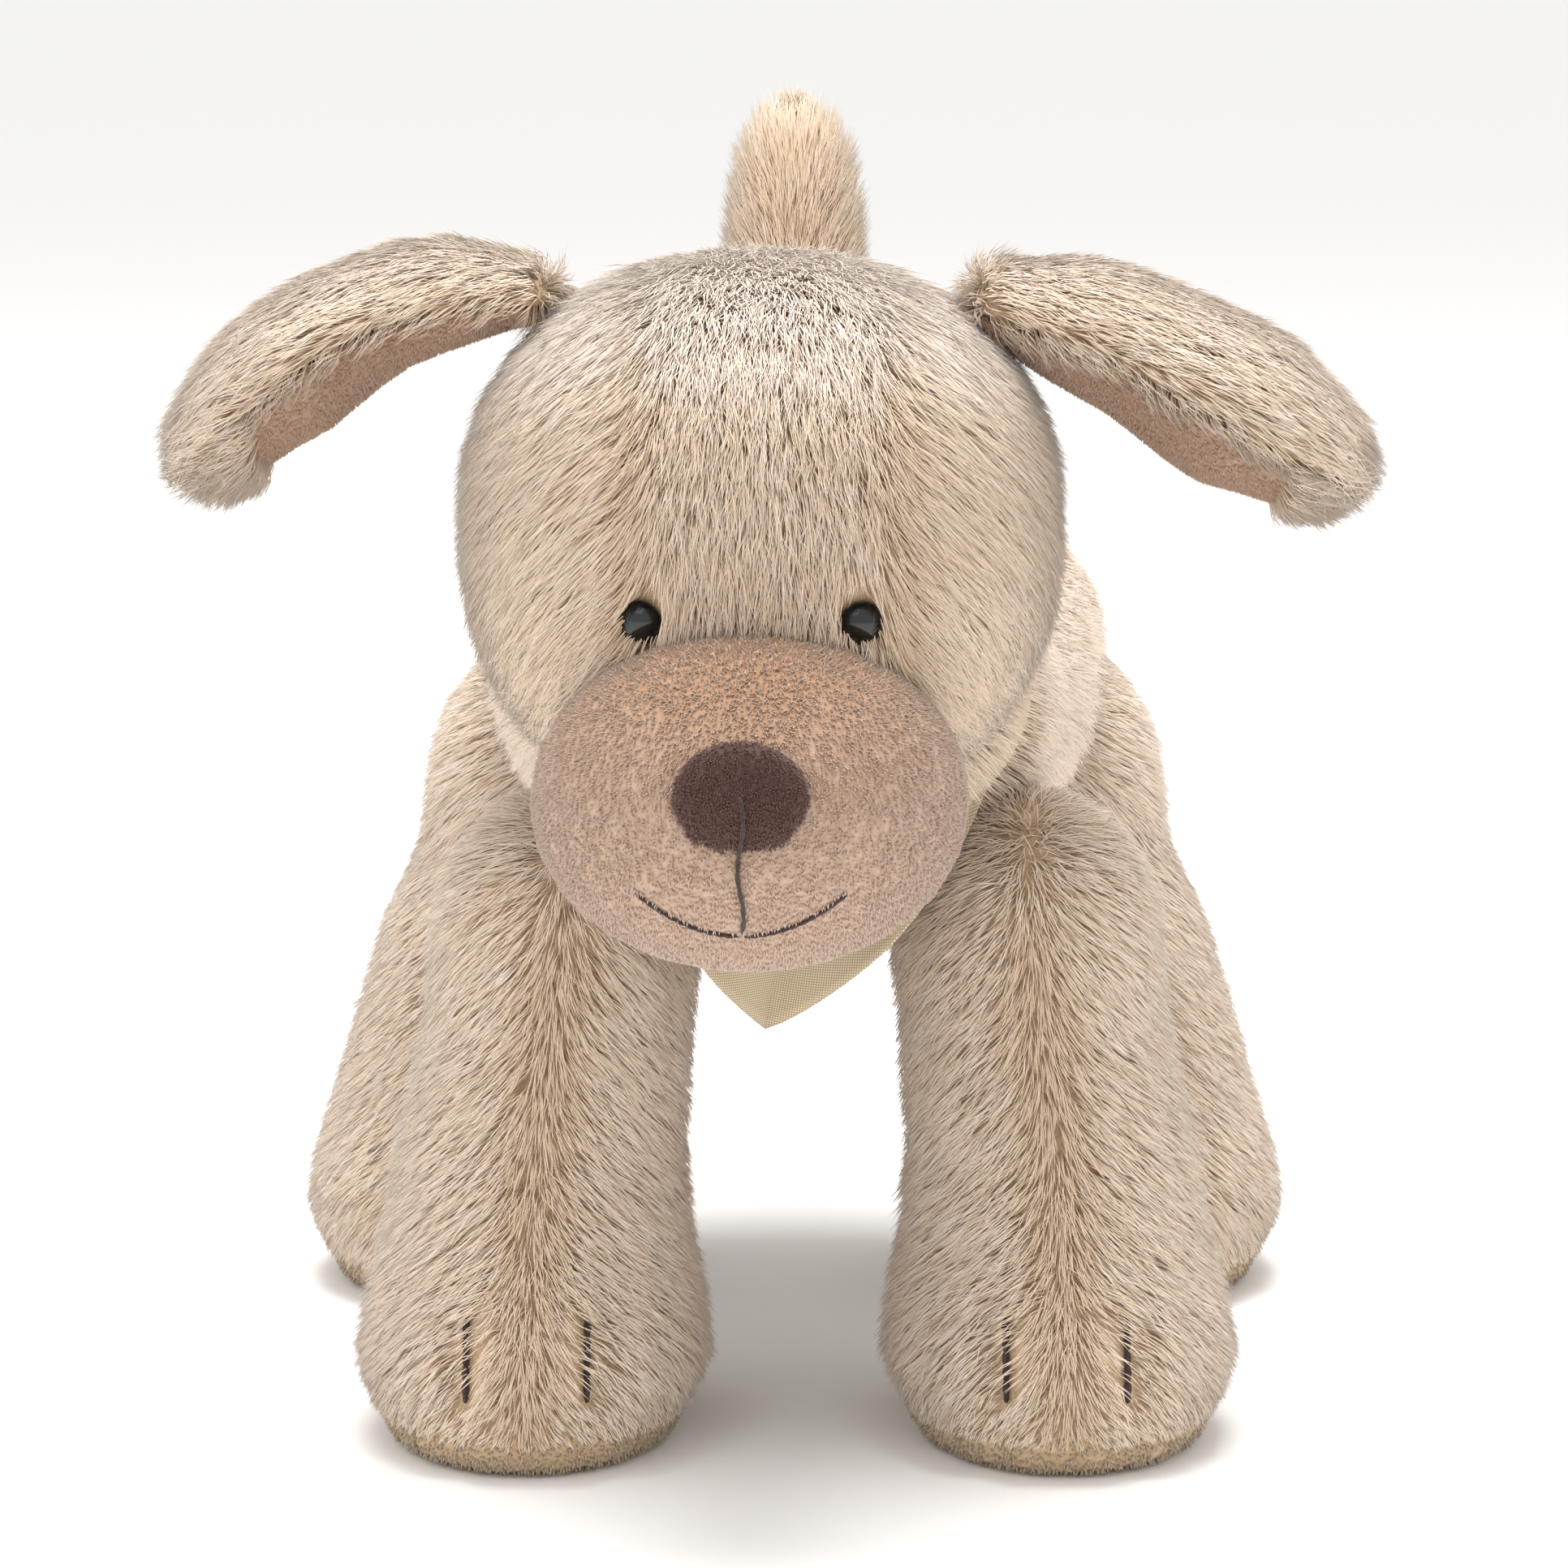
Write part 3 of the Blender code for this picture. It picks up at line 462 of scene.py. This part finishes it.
def cover(name, body, source, per_mm2, comb, length, leans, width, finish, away=(), room=0.002, keep=None,
          parted=None, sheets=(), tone_of=None, tuft=0.003, gather=0.45, seed=1):
    """Grows pile on a skin and lets it ride on the body."""
    rng = np.random.default_rng(seed)
    roots, normals = scattered(source.data, per_mm2, rng)
    held = np.ones(len(roots), bool) if keep is None else keep(roots, normals)
    roots, normals = roots[held], normals[held]
    held = clear_of(roots, away, room)
    roots, normals = roots[held], normals[held]
    middles, tips, tone = strands(roots, normals, comb, length, leans, rng, tuft, gather)
    if tone_of:
        tone = tone + tone_of(roots, normals)
    held = ~blocks_eye(middles, tips) if body == "head" else np.ones(len(roots), bool)
    if parted:
        for reached in (middles, tips, (middles + tips) / 2):
            held &= parted(reached) > TOE_PARTING
    for sheet_tree in sheets:
        held &= ~crossing(roots, tips, sheet_tree)
    roots, normals, middles, tips, tone = (x[held] for x in (roots, normals, middles, tips, tone))
    parts = math.ceil(len(roots) / MOST_STRANDS)
    for part in range(parts):
        pick = slice(part, None, parts)
        piece = strand_mesh(f"{name}_{part + 1}", roots[pick], middles[pick], tips[pick], normals[pick],
                            tone[pick], width, finish)
        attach(piece, body)


EYES = [sum(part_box(f"eye_{side}"), Vector()) / 2 for side, _ in SIDES]


def blocks_eye(middles, tips):
    """True for each strand that would lie over an eye."""
    found = np.zeros(len(tips), bool)
    for at in EYES:
        for points in (middles, tips, (middles + tips) / 2):
            aside = np.hypot(points[:, 0] - at.x, points[:, 2] - at.z - 0.0006)
            found |= (aside < EYE_OPENING) & (points[:, 1] < at.y + 0.006)
    return found


def paw_length(roots):
    """The pile is clipped shorter towards the sole, so that the sole's edge shows."""
    return PAW_PILE * np.clip(0.30 + (roots[:, 2] - SOLE_TOP) / 0.020, 0.30, 1.0)


def toes_parted(roots, lines):
    """A factor of 0 on the toe stitches, which pull the pile in, rising to 1 away from them."""
    share = np.ones(len(roots))
    for x, low, high in lines:
        past = np.maximum(0, np.maximum(low - roots[:, 2], roots[:, 2] - high))
        aside = np.where(roots[:, 1] < 0.02, np.hypot(roots[:, 0] - x, past), 1.0)
        share = np.minimum(share, np.clip(aside / TOE_PULL, 0, 1))
    return share


def columns(*parts):
    """Three numbers or rows of numbers side by side, as one direction for each strand."""
    return np.stack(np.broadcast_arrays(*parts), 1)


def comb_head(roots, normals):
    """Down the forehead, out over the cheeks, and back behind the crown."""
    x = roots[:, 0] - HEAD_MIDDLE_X
    forward = np.clip((-roots[:, 1] - 0.008) / 0.024, 0, 1)
    cheek = np.clip((np.abs(x) - 0.020) / 0.006, 0, 1) * np.sign(x)
    front = columns(cheek * 0.8 + x * 4, -0.35 + 0 * x, -0.9 + 0 * x)
    back = columns(x * 6, 1.0 + 0 * x, -0.5 + 0 * x)
    return front * forward[:, None] + back * (1 - forward[:, None])


def comb_back(roots, normals):
    """Backwards and down, away from the spine."""
    x = roots[:, 0] - HOME.x
    return columns(x * 3, 0.7 + 0 * x, -0.65 + 0 * x)


def comb_tail(roots, normals):
    """Up towards the tail's tip."""
    x = roots[:, 0] - HOME.x
    return columns(x * 8, 0.1 + 0 * x, 1.0 + 0 * x)


def comb_ear(sign):
    """Out towards the ear's tip."""
    def comb(roots, normals):
        level = 0 * roots[:, 0]
        return columns(sign + level, -0.55 + level, -0.5 + level)
    return comb


def comb_leg(middle_x):
    """Down the leg, parting to each side of its front seam."""
    def comb(roots, normals):
        x = roots[:, 0] - middle_x(roots[:, 2])
        aside = np.clip(x / 0.006, -1, 1)
        front = np.clip(-normals[:, 1], 0, 1)
        low = np.clip((0.035 - roots[:, 2]) / 0.02, 0, 1)
        shoulder = np.clip((roots[:, 2] - 0.105) / 0.02, 0, 1)
        spread = aside * (0.35 + 0.35 * front) + 6 * x * shoulder
        back = 0.15 - 0.5 * low + 0.5 * shoulder
        return columns(spread, back, -1 + 0.25 * low)
    return comb


def comb_down(roots, normals):
    """Straight down."""
    return columns(0 * roots[:, 0], 0 * roots[:, 0], -1 + 0 * roots[:, 0])


def painted_seam_shade(middle_x, width=0.0040, depth=0.95):
    """Painted shade, darker along the leg's front seam, where the cloth is pulled in."""
    def tone(roots, normals):
        x = roots[:, 0] - middle_x(roots[:, 2])
        fading = np.clip((SEAM_TOP - roots[:, 2]) / 0.015, 0, 1)
        return -depth * fading * np.exp(-((x / width) ** 2)) * (normals[:, 1] < -0.2)
    return tone


def crown_light_and_seam_shade(roots, normals):
    """Painted light paler on the crown, and painted shade darker along the two brow seams."""
    x = np.abs(roots[:, 0] - HEAD_MIDDLE_X)
    # Painted light where the pile faces up, over a small darkening of the whole head
    crown = 0.8 * np.clip((normals[:, 2] - 0.45) / 0.4, 0, 1) - 0.15
    # Painted shade in the valleys of the two brow seams
    return crown - 0.45 * np.exp(-(((x - BROW_SEAM) / 0.003) ** 2)) * (normals[:, 1] < -0.2)


# ------------------------------------------------------------ scarf
def bearing(tilt):
    """A direction in the dog's upright middle plane, raised from straight ahead."""
    return Vector((0, -math.cos(tilt), math.sin(tilt)))


def scarf_widened(turn):
    """From 0, where the scarf is only its band, to 1 at its corner."""
    return max(0.0, 1 - abs(turn) / SCARF_CORNER)


def scarf_point(turn, share):
    """A place on the scarf: a turn round the neck, 0 at the front, and a share from upper edge to hem."""
    axis, front = bearing(SCARF_TILT), bearing(SCARF_TILT - math.pi / 2)
    radius = SCARF_RADIUS + SCARF_NAPE_LIFT * max(0.0, -math.cos(turn))
    widened = scarf_widened(turn)
    band = min(1.0, share * (1 + 3 * widened))
    hang = 0.0 if widened == 0 else max(0.0, (share * (1 + 3 * widened) - 1) / (3 * widened))
    angle = SCARF_ANGLE + SCARF_BAND * (band - 0.5)
    rim = front * math.cos(turn) + Vector((1, 0, 0)) * math.sin(turn)
    at = NECK + (axis * math.cos(angle) + rim * math.sin(angle)) * radius
    forward = SCARF_FORWARD * math.sin(math.pi * widened) + SCARF_CLEAR * widened
    fold = 0.0006 * math.sin(turn * 17 + share * 3) * widened
    return at + Vector((SCARF_ASIDE * widened**2, -forward + fold, -SCARF_DROP * widened)) * hang


def make_scarf():
    """The cloth ring with its hanging corner, and its area."""
    build = bmesh.new()
    cloth = build.loops.layers.uv.new("cloth")
    turns = [math.tau * (i / SCARF_STEPS - 0.5) for i in range(SCARF_STEPS + 1)]
    grid = []
    for turn in turns[:-1]:
        grid.append([build.verts.new(scarf_point(turn, j / SCARF_ROWS)) for j in range(SCARF_ROWS + 1)])
    for i in range(SCARF_STEPS):
        for j in range(SCARF_ROWS):
            following = (i + 1) % SCARF_STEPS
            face = build.faces.new((grid[i][j], grid[i][j + 1], grid[following][j + 1], grid[following][j]))
            for loop, (a, b) in zip(face.loops, ((i, j), (i, j + 1), (i + 1, j + 1), (i + 1, j))):
                widened = scarf_widened(turns[a])
                loop[cloth].uv = (turns[a] * 0.0495, b / SCARF_ROWS * (0.008 + 0.035 * widened))
    area = sum(face.calc_area() for face in build.faces)
    data = bpy.data.meshes.new("scarf_cloth")
    build.to_mesh(data)
    build.free()
    made = object_of("scarf_cloth", data, canvas())
    thick = made.modifiers.new("thick", "SOLIDIFY")
    thick.thickness = SCARF_THICK
    applied(made)
    made.data.shade_smooth()
    return made, area


scarf, scarf_area = make_scarf()
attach(scarf, "torso")
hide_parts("scarf")


# ------------------------------------------------------------ growing the pile
torso_tree, head_tree, muzzle_tree, scarf_tree = (tree_of(x) for x in (torso, head, muzzle, scarf))
nose_tree = tree_of(nose)
leg_trees = [tree_of(x) for x in legs]
lining_trees = [tree_of(x) for x in ear_linings]
fur_trees = [tree_of(x) for x in ear_furs]
tail_tree = tree_of(tail)

cover("torso_fur", "torso", torso, 1.6, comb_back, 0.0110, (36, 60), 0.00036, fur_pile,
      [head_tree, *leg_trees, tail_tree], 0.0012, sheets=[scarf_tree], seed=11)
cover("head_fur", "head", head, 2.8, comb_head, 0.0118, (38, 62), 0.00028, fur_pile,
      [torso_tree, muzzle_tree], 0.0012, sheets=[scarf_tree], tone_of=crown_light_and_seam_shade,
      keep=lambda r, n: np.linalg.norm(r - np.array(NECK), axis=1) > NECK_HOLLOW, seed=12)
cover("tail_fur", "tail", tail, 2.3, comb_tail, 0.0110, (34, 56), 0.00032, fur_pile, [torso_tree], 0.0015,
      tone_of=lambda r, n: np.full(len(r), -0.35), seed=13)
for ear, lining_tree, (side, sign) in zip(ear_furs, lining_trees, SIDES):
    cover(f"ear_{side}_pile", f"ear_{side}", ear, 2.5, comb_ear(sign), 0.0100, (36, 60), 0.00032, fur_pile,
          [head_tree, lining_tree], 0.0006, seed=14)
# Heights up each leg, and how far to the side its middle line is there
LEG_LINES = {
    "front": ((0.014, 0.044, 0.062, 0.109), (0.056, 0.055, 0.054, 0.0485)),
    "hind": ((0.014, 0.066, 0.121), (0.0775, 0.068, 0.050)),
}


def leg_middle(limb, sign):
    """The sideways place of a leg's middle line, as a function of height."""
    heights, asides = LEG_LINES[limb]
    return lambda z: HOME.x + sign * np.interp(z, heights, asides)


for index, (body, leg) in enumerate(zip(LEGS, legs)):
    limb, sign = body.split("_")[1], 1 if body.endswith("left") else -1
    middle_x = leg_middle(limb, sign)
    toes = []
    if limb == "front":
        for place in ("inner", "outer"):
            corner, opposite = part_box(f"{body}_toe_stitch_{place}")
            toes.append(((corner.x + opposite.x) / 2, corner.z, opposite.z))
    cover(f"{body}_fur", body, leg, 2.1, comb_leg(middle_x),
          lambda roots: paw_length(roots) * (0.35 + 0.65 * toes_parted(roots, toes)),
          (36, 62), 0.00032, fur_pile, [torso_tree], 0.0012,
          keep=lambda r, n: (r[:, 2] > SOLE_TOP) & (toes_parted(r, toes) > TOE_PARTING),
          parted=lambda reached: toes_parted(reached, toes),
          sheets=[scarf_tree], tone_of=painted_seam_shade(middle_x), seed=20 + index)
    cover(f"{body}_sole_pile", body, leg, 1.3, comb_down, 0.0014, (20, 30), 0.00050, sole_pile, [], 0,
          keep=lambda r, n: r[:, 2] < 0.0100, tuft=0.0012, gather=0.1, seed=30 + index)
# Painted shade: the muzzle's pile darkens towards its top
cover("muzzle_pile", "head", muzzle, 2.2, comb_down, 0.0011, (15, 35), 0.00040, velour_pile,
      [head_tree, nose_tree], 0.0003, tuft=0.0011, gather=0.25,
      tone_of=lambda r, n: -0.6 * np.clip((r[:, 2] - 0.146) / 0.024, 0, 1), seed=41)
cover("nose_pile", "head", nose, 5.0, comb_down, 0.0009, (15, 35), 0.00030, nose_pile,
      [muzzle_tree], 0.0002, tuft=0.0008, gather=0.2, seed=42)
for lining, fur_tree, (side, sign) in zip(ear_linings, fur_trees, SIDES):
    cover(f"ear_{side}_lining_pile_shaded", f"ear_{side}", lining, 2.4, comb_ear(sign), 0.0011, (15, 35), 0.00042,
          lining_pile_shaded, [head_tree], 0.0003, tuft=0.0012, gather=0.3, seed=43)
    # The fur side is cut larger than the lining and rolls round the tip
    cover(f"ear_{side}_tip_pile", f"ear_{side}", lining, 2.5, comb_ear(sign), 0.0085, (36, 60), 0.00032,
          fur_pile, [fur_tree], 0.0003,
          keep=lambda r, n: np.abs(r[:, 0] - HEAD_MIDDLE_X) > EAR_ROLL, seed=44)

# Skins ride on the bodies of the solids that they stand for
for piece, body, slot, stood_for in [
    (torso, "torso", "fur", ["torso_cover"]),
    (head, "head", "fur", ["head_cover"]),
    (muzzle, "head", "velour", ["muzzle_cover"]),
    (nose, "head", "nose_velour", ["nose_patch"]),
    (tail, "tail", "fur", ["tail_cover"]),
    *[(x, f"ear_{s}", "fur", [f"ear_{s}_fur"]) for x, (s, _) in zip(ear_furs, SIDES)],
    *[(x, f"ear_{s}", "velour", [f"ear_{s}_lining"]) for x, (s, _) in zip(ear_linings, SIDES)],
    *[(x, b, "fur", [f"{b}_cover", f"{b}_sole"]) for x, b in zip(legs, LEGS)],
]:
    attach(piece, body)
    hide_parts(*stood_for)
for name, stand_in in [
    ("torso_stuffing", torso), ("head_stuffing", head), ("muzzle_stuffing", muzzle), ("tail_stuffing", tail),
    *[(f"{b}_stuffing", x) for x, b in zip(legs, LEGS)],
]:
    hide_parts(name)


# ------------------------------------------------------------ threads and eyes
def thread(name, path, radius, body, stood_for):
    """Two twisted plies laid along a path, tapering into the cloth at both ends."""
    fine = []
    for first, last in zip(path, path[1:]):
        fine += [first.lerp(last, i / 6) for i in range(6)]
    fine.append(path[-1])
    build, rings = bmesh.new(), []
    for i, at in enumerate(fine):
        way = (fine[min(i + 1, len(fine) - 1)] - fine[max(i - 1, 0)]).normalized()
        side = way.cross(Vector((0, 1, 0))).normalized()
        over = side.cross(way)
        taper = min(1.0, 0.35 + 0.3 * min(i, len(fine) - 1 - i))
        ring = []
        for k in range(THREAD_SIDES):
            turn = math.tau * k / THREAD_SIDES
            reach = radius * taper * (1 + 0.22 * math.cos(2 * (turn - i * 0.5)))
            ring.append(build.verts.new(at + (side * math.cos(turn) + over * math.sin(turn)) * reach))
        rings.append(ring)
    for near, far in zip(rings, rings[1:]):
        for k in range(THREAD_SIDES):
            following = (k + 1) % THREAD_SIDES
            build.faces.new((near[k], near[following], far[following], far[k]))
    build.faces.new(rings[0])
    build.faces.new(rings[-1])
    bmesh.ops.recalc_face_normals(build, faces=build.faces)
    data = bpy.data.meshes.new(name)
    build.to_mesh(data)
    build.free()
    made = object_of(name, data, dark_thread)
    data.shade_smooth()
    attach(made, body)
    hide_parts(stood_for)


def on_front(x, z, trees, lift):
    """The first place met from the front, lifted off it."""
    hits = [t.ray_cast(Vector((x, -0.4, z)), Vector((0, 1, 0)))[0] for t in trees]
    front = min(h.y for h in hits if h is not None)
    return Vector((x, front - lift, z))


face = [muzzle_tree, nose_tree]
middle = sum(corner.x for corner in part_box("nose_stitch")) / 2
philtrum = []
for i in range(10):
    x = middle + 0.0006 * math.sin(i)
    philtrum.append(on_front(x, PHILTRUM_TOP - PHILTRUM_DROP * i / 9, face, 0.0009))
thread("philtrum_thread", philtrum, 0.00042, "head", "nose_stitch")
for side, sign in SIDES:
    smile = []
    for i in range(12):
        share = i / 11
        x = middle + sign * (0.0006 + SMILE_WIDE * share)
        smile.append(on_front(x, SMILE_LOW + SMILE_LIFT * share**1.9, face, 0.0008))
    thread(f"smile_thread_{side}", smile, 0.00036, "head", f"smile_stitch_{side}")
for side, _ in SIDES:
    for place in ("inner", "outer"):
        node = f"leg_front_{side}_toe_stitch_{place}"
        low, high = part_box(node)
        x = (low.x + high.x) / 2
        leg_tree = leg_trees[LEGS.index(f"leg_front_{side}")]
        path = [on_front(x, 0.0165 + 0.0165 * i / 6, [leg_tree], 0.0012) for i in range(7)]
        thread(f"toe_thread_{side}_{place}", path, 0.00070, f"leg_front_{side}", node)


def eye_dome(side):
    """A smooth moulded cap on the eye's own axis, which is the odd one out of its principal directions."""
    points = points_of(nodes[f"eye_{side}"].data)
    middle = points.mean(0)
    spread, directions = np.linalg.eigh(np.cov((points - middle).T))
    odd = 0 if spread[1] - spread[0] > spread[2] - spread[1] else 2
    axis = Vector(directions[:, odd])
    axis = -axis if axis.y > 0 else axis
    crown = Vector(middle) + axis * ((points - middle) @ np.array(axis)).max()
    base = crown - axis * EYE_RISE
    across = axis.cross(Vector((0, 0, 1))).normalized()
    over = axis.cross(across)
    build, rings = bmesh.new(), []
    for row in range(EYE_ROWS):
        turn = math.pi / 2 * row / EYE_ROWS
        size, rise = EYE_RADIUS * math.cos(turn), EYE_RISE * math.sin(turn)
        ring = []
        for k in range(EYE_SIDES):
            way = math.tau * k / EYE_SIDES
            aside = (across * math.cos(way) + over * math.sin(way)) * size
            ring.append(build.verts.new(base + axis * rise + aside))
        rings.append(ring)
    top = build.verts.new(crown)
    for near, far in zip(rings, rings[1:]):
        for k in range(EYE_SIDES):
            following = (k + 1) % EYE_SIDES
            build.faces.new((near[k], near[following], far[following], far[k]))
    for k in range(EYE_SIDES):
        build.faces.new((rings[-1][k], rings[-1][(k + 1) % EYE_SIDES], top))
    build.faces.new(rings[0])
    bmesh.ops.recalc_face_normals(build, faces=build.faces)
    data = bpy.data.meshes.new(f"eye_dome_{side}")
    build.to_mesh(data)
    build.free()
    data.shade_smooth()
    made = object_of(f"eye_dome_{side}", data, eye_gloss)
    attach(made, "head")
    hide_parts(f"eye_{side}")


eye_dome("left")
eye_dome("right")

# CAD nodes that stay as they are, all inside the skins
hidden = {"neck_stuffing": filling, "eye_washer_left": washer_white, "eye_washer_right": washer_white}
for name, finish in hidden.items():
    nodes[name].data.materials.clear()
    nodes[name].data.materials.append(finish)


# ------------------------------------------------------------ stage
# Seamless studio paper, matt and near white
floor_paper, _, paper_shader = new_material("floor_paper", 0.9)
paper_shader.inputs["Base Color"].default_value = colour("F8F7F5")
floor_data = bpy.data.meshes.new("floor")
floor_data.from_pydata([(-60, -60, 0), (60, -60, 0), (60, 60, 0), (-60, 60, 0)], [], [(0, 1, 2, 3)])
floor = object_of("floor", floor_data, floor_paper)
floor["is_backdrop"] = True


def softbox(name, at, power, size):
    """A square studio light aimed at the middle of the dog."""
    light = bpy.data.lights.new(name, "AREA")
    light.energy, light.size = power, size
    made = bpy.data.objects.new(name, light)
    made.location = at
    made.rotation_euler = (Vector((0, 0, 0.13)) - Vector(at)).to_track_quat("-Z", "Y").to_euler()
    bpy.context.scene.collection.objects.link(made)


softbox("key", (-0.5, -1.0, 1.4), 4.0, 1.2)
softbox("fill_left", (1.4, -0.3, 0.6), 1.0, 1.0)
softbox("fill_right", (-1.4, -0.3, 0.6), 1.0, 1.0)
softbox("top", (0.0, 0.1, 1.9), 38.0, 1.0)
world = bpy.data.worlds.new("studio")
bpy.context.scene.world = world
world.use_nodes = True
world.node_tree.nodes["Background"].inputs["Color"].default_value = colour("FFFFFF")
world.node_tree.nodes["Background"].inputs["Strength"].default_value = 0.97
bpy.context.scene.view_settings.view_transform = "Standard"

# The camera stands well back with a long lens, a little above level
CAMERA_FAR = 1.1
LENS_MM = 112.919
TARGET = Vector((-0.0026, 0, 0.1265)) + HOME
RISE = math.radians(10)
camera_data = bpy.data.cameras.new("camera")
camera_data.sensor_width = 36.0
camera_data.lens = LENS_MM
camera = bpy.data.objects.new("camera", camera_data)
camera.location = TARGET + Vector((0, -math.cos(RISE), math.sin(RISE))) * CAMERA_FAR
camera.rotation_euler = (TARGET - camera.location).to_track_quat("-Z", "Y").to_euler()
bpy.context.scene.collection.objects.link(camera)
bpy.context.scene.camera = camera

low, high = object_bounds()
